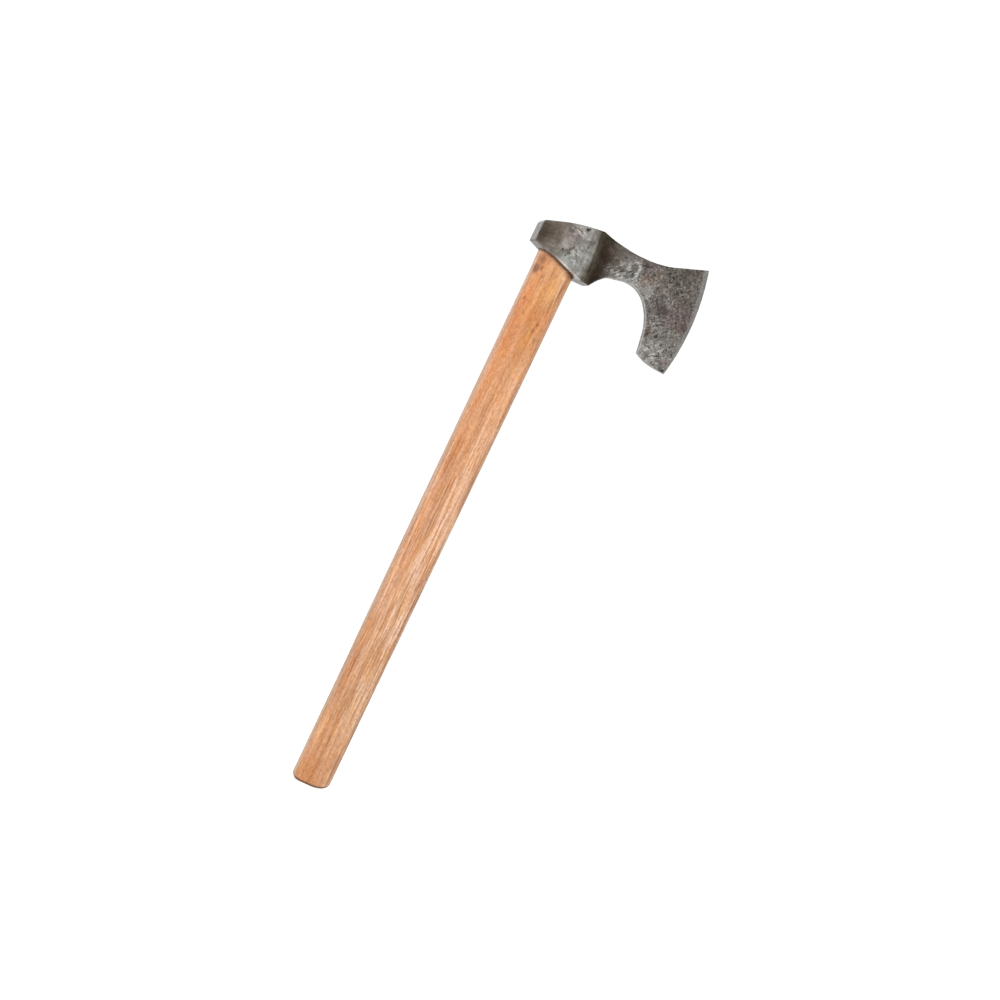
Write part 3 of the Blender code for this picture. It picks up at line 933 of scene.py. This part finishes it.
def make_haft(material):
    """The haft: corners softened, faces worn, and its paint values."""
    bm = dense_mesh("haft", HAFT_CELLS)
    soften(bm, corner_tree(bm), 2.5 * MM, 2, lambda co: co.z > head_low.z + 30 * MM)
    paint = {name: [] for name in ("tone", "end", "mark", "open_grain")}
    moves = []
    for vert in bm.verts:
        x = vert.co.x / MM
        height = vert.co.z / MM
        end = end_grain(vert, height)
        warp = rough_noise(Vector((vert.co.x, vert.co.y, vert.co.z * 0.25)), 0.012, 61)
        moves.append(haft_move(vert, x, height, end))
        paint["tone"].append(wood_tone(vert, x, height, end, warp))
        paint["end"].append(end)
        paint["mark"].append(stain_and_shade(x, height, warp))
        paint["open_grain"].append(grain_openness(x, height))
    for vert, move in zip(bm.verts, moves):
        vert.co += move
    keep_in_box(bm, haft_low, haft_high)
    return add_piece("wooden_haft", bm, "haft", material, paint)


def wood_material(name, darkness):
    """Oiled wood: its noises are drawn out along the haft, so they have a small scale in z."""
    nodes = Nodes(name, 0.62, 0.0)
    bands = nodes.noise(nodes.stretched((210.0, 160.0, 6.5)), 1.0, 4.0, 0.62, 0.9)
    fibres = nodes.noise(nodes.stretched((700.0, 700.0, 20.0)), 1.0, 4.0, 0.75, 0.7)
    pores = nodes.noise(nodes.stretched((620.0, 620.0, 32.0)), 1.0, 3.0, 0.65, 0.4)
    patches = nodes.noise(nodes.stretched((100.0, 100.0, 13.0)), 1.0, 5.0, 0.66)
    flecks = nodes.noise(nodes.stretched((560.0, 560.0, 300.0)), 1.0, 2.0, 0.7)
    tints = nodes.noise(nodes.stretched((180.0, 180.0, 40.0)), 1.0, 2.0, 0.6)
    open_grain = nodes.paint("open_grain")

    # bands and fibres run up the haft, and show where the grain is open
    shade = nodes.ramp(bands, (0.38, (0.74, 0.60, 0.45)), (0.50, WHITE), (0.62, (1.10, 1.18, 1.32)))
    shade = nodes.mix(open_grain, WHITE, shade)
    colour = nodes.mix(1.0, nodes.paint("tone", "Color"), shade, "MULTIPLY")
    shade = nodes.ramp(fibres, (0.40, (0.65, 0.52, 0.38)), (0.50, WHITE), (0.59, (1.16, 1.27, 1.42)))
    shade = nodes.mix(open_grain, WHITE, shade)
    colour = nodes.mix(1.0, colour, shade, "MULTIPLY")
    shade = nodes.ramp(patches, (0.36, (0.87, 0.78, 0.66)), (0.62, (1.05, 1.08, 1.14)))
    colour = nodes.mix(1.0, colour, shade, "MULTIPLY")
    shade = nodes.ramp(flecks, (0.38, (0.86, 0.79, 0.71)), (0.50, WHITE), (0.62, (1.05, 1.09, 1.14)))
    colour = nodes.mix(1.0, colour, shade, "MULTIPLY")
    # dark pores, more of them in the dark bands
    dark = nodes.ramp(pores, (0.60, 0.0), (0.70, 1.0))
    dark = nodes.maths("MULTIPLY", dark, nodes.ramp(bands, (0.35, 0.75), (0.6, 0.25)))
    colour = nodes.mix(dark, colour, tuple(STAIN_TONE))
    shade = nodes.ramp(tints, (0.38, (1.03, 0.98, 0.86)), (0.5, WHITE), (0.62, (0.97, 1.0, 1.07)))
    colour = nodes.mix(1.0, colour, shade, "MULTIPLY")
    mark = nodes.maths("MULTIPLY", nodes.paint("mark"), nodes.ramp(flecks, (0.40, 0.65), (0.52, 1.0)))
    colour = nodes.mix(mark, colour, tuple(MARK_TONE))

    # end grain: rings about the pith, away from the haft's own middle
    rings = nodes.tree.nodes.new("ShaderNodeTexWave")
    rings.wave_type = "RINGS"
    rings.rings_direction = "Z"
    rings.inputs["Scale"].default_value = 210.0
    rings.inputs["Distortion"].default_value = 1.2
    rings.inputs["Detail"].default_value = 2.0
    shift = nodes.tree.nodes.new("ShaderNodeMapping")
    shift.inputs["Location"].default_value = (0.055, 0.012, 0.0)
    nodes.feed(shift.inputs["Vector"], nodes.place)
    nodes.feed(rings.inputs["Vector"], shift.outputs["Vector"])
    cut = nodes.ramp(rings.outputs["Fac"], (0.0, (0.30, 0.17, 0.09)), (1.0, (0.50, 0.31, 0.18)))
    cut = nodes.mix(nodes.ramp(pores, (0.50, 0.0), (0.62, 0.8)), cut, (0.16, 0.09, 0.05))
    colour = nodes.mix(nodes.paint("end"), colour, cut)
    if darkness:
        colour = nodes.mix(1.0, colour, (1 - darkness,) * 3, "MULTIPLY")
    nodes.feed(nodes.shader.inputs["Base Color"], colour)

    rough = nodes.mix(fibres, (0.5, 0.5, 0.5), (0.72, 0.72, 0.72))
    nodes.feed(nodes.shader.inputs["Roughness"], rough)
    height = nodes.maths("MULTIPLY", fibres, 0.7)
    height = nodes.maths("ADD", height, nodes.maths("MULTIPLY", pores, -0.3))
    nodes.relief(height, 0.0005, 0.45)
    return nodes.material


# ---------------------------------------------------------------- wedges

BRUISE_DEPTH = 0.35 * MM


def make_wedge(name, node, material, tone):
    """A wedge with a bruised top. The wooden one shows end grain there, and the steel ones bare metal."""
    bm = dense_mesh(node, WEDGE_CELLS)
    low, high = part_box(node)
    paint = {key: [] for key in ("tone", "end", "wear")}
    for vert in bm.verts:
        bruise = 0.5 + 0.5 * rough_noise(vert.co, 0.003, 71, 2)
        top = smooth(0.6, 0.9, vert.normal.z)
        vert.co.z -= BRUISE_DEPTH * bruise * top
        paint["tone"].append(tone * (0.85 + 0.3 * bruise))
        paint["end"].append(top)
        paint["wear"].append(0.5 * top * bruise)
    keep_in_box(bm, low, high)
    return add_piece(name, bm, node, material, paint)


# ---------------------------------------------------------------- stage, light and camera

FLOOR_HALF_SIZE = 7.0
FLOOR_GAP = 0.0004
FLOOR_GLOW = 0.76
BACKGROUND_GLOW = 1.05
ROOM_LIGHT = 0.36


def make_stage():
    """A pale floor just under the butt, which glows a little so that it is as white as the room."""
    bm = bmesh.new()
    bmesh.ops.create_grid(bm, x_segments=4, y_segments=4, size=FLOOR_HALF_SIZE)
    bmesh.ops.translate(bm, verts=bm.verts, vec=(0.0, 0.0, cad_box[0].z - FLOOR_GAP))
    mesh = bpy.data.meshes.new("floor")
    bm.to_mesh(mesh)
    bm.free()
    floor = bpy.data.objects.new("floor", mesh)
    bpy.context.scene.collection.objects.link(floor)
    material = bpy.data.materials.new("floor_paper")
    material.use_nodes = True
    shader = material.node_tree.nodes["Principled BSDF"]
    shader.inputs["Base Color"].default_value = (0.80, 0.80, 0.80, 1.0)
    shader.inputs["Roughness"].default_value = 0.9
    shader.inputs["Specular IOR Level"].default_value = 0.0
    shader.inputs["Emission Color"].default_value = (1.0, 1.0, 1.0, 1.0)
    shader.inputs["Emission Strength"].default_value = FLOOR_GLOW
    mesh.materials.append(material)


def view_axes():
    """The level direction across the view, and the rolled camera's right, up and forwards."""
    across = Vector((math.cos(VIEW_AZIMUTH), math.sin(VIEW_AZIMUTH), 0.0))
    forwards = Vector((-math.sin(VIEW_AZIMUTH), math.cos(VIEW_AZIMUTH), 0.0))
    above = Vector((0.0, 0.0, 1.0))
    right = math.cos(VIEW_ROLL) * across + math.sin(VIEW_ROLL) * above
    up = math.cos(VIEW_ROLL) * above - math.sin(VIEW_ROLL) * across
    return across, right, up, forwards


def make_camera():
    """The camera, level with the axe's middle and rolled."""
    across, right, up, forwards = view_axes()
    target = across * VIEW_CENTRE_ACROSS + Vector((0.0, 0.0, VIEW_CENTRE_UP))
    data = bpy.data.cameras.new("view")
    data.lens = VIEW_LENS
    data.sensor_width = VIEW_SENSOR
    camera = bpy.data.objects.new("view", data)
    rotation = Matrix((right, up, -forwards)).transposed().to_4x4()
    camera.matrix_world = Matrix.Translation(target - forwards * VIEW_DISTANCE) @ rotation
    bpy.context.scene.collection.objects.link(camera)
    bpy.context.scene.camera = camera


def add_light(name, place, target, size, energy):
    """A square soft light at place, aimed at target."""
    data = bpy.data.lights.new(name, "AREA")
    data.energy = energy
    data.size = size
    light = bpy.data.objects.new(name, data)
    light.location = place
    light.rotation_mode = "QUATERNION"
    light.rotation_quaternion = (target - place).to_track_quat("-Z", "Y")
    light.visible_camera = False
    bpy.context.scene.collection.objects.link(light)


def make_lights():
    """Three soft lights about the head."""
    across, _, _, forwards = view_axes()
    above = Vector((0.0, 0.0, 1.0))
    target = Vector((0.04, 0.0, 0.42))
    add_light("key", target - forwards * 1.2 - across * 1.25 - above * 0.05, target, 0.9, 16.0)
    add_light("fill", target - forwards * 1.4 + across * 1.1 + above * 0.9, target, 1.0, 7.0)
    add_light("back", target + forwards * 1.5 - across * 0.4 + above * 0.7, target, 1.2, 14.0)


def make_room():
    """A white room: brighter as a background than as a light, so that the axe keeps its shading."""
    world = bpy.data.worlds.new("studio")
    bpy.context.scene.world = world
    world.use_nodes = True
    tree = world.node_tree
    tree.nodes.clear()
    path = tree.nodes.new("ShaderNodeLightPath")
    mix = tree.nodes.new("ShaderNodeMixShader")
    output = tree.nodes.new("ShaderNodeOutputWorld")
    tree.links.new(path.outputs["Is Camera Ray"], mix.inputs["Fac"])
    for socket, strength in ((mix.inputs[1], ROOM_LIGHT), (mix.inputs[2], BACKGROUND_GLOW)):
        background = tree.nodes.new("ShaderNodeBackground")
        background.inputs["Color"].default_value = (1.0, 1.0, 1.0, 1.0)
        background.inputs["Strength"].default_value = strength
        tree.links.new(background.outputs["Background"], socket)
    tree.links.new(mix.outputs["Shader"], output.inputs["Surface"])
    bpy.context.scene.view_settings.view_transform = "Standard"


steel = steel_material()
wood = wood_material("haft_wood_look", 0.0)
wedge_wood = wood_material("wedge_wood_look", 0.25)
make_head(steel)
make_haft(wood)
make_wedge("wood_wedge", "wooden_wedge", wedge_wood, linear(176, 128, 92))
for end in ("front", "rear"):
    make_wedge(f"metal_wedge_{end}", f"steel_wedge_{end}", steel, linear(118, 110, 103))
make_stage()
make_lights()
make_room()
make_camera()
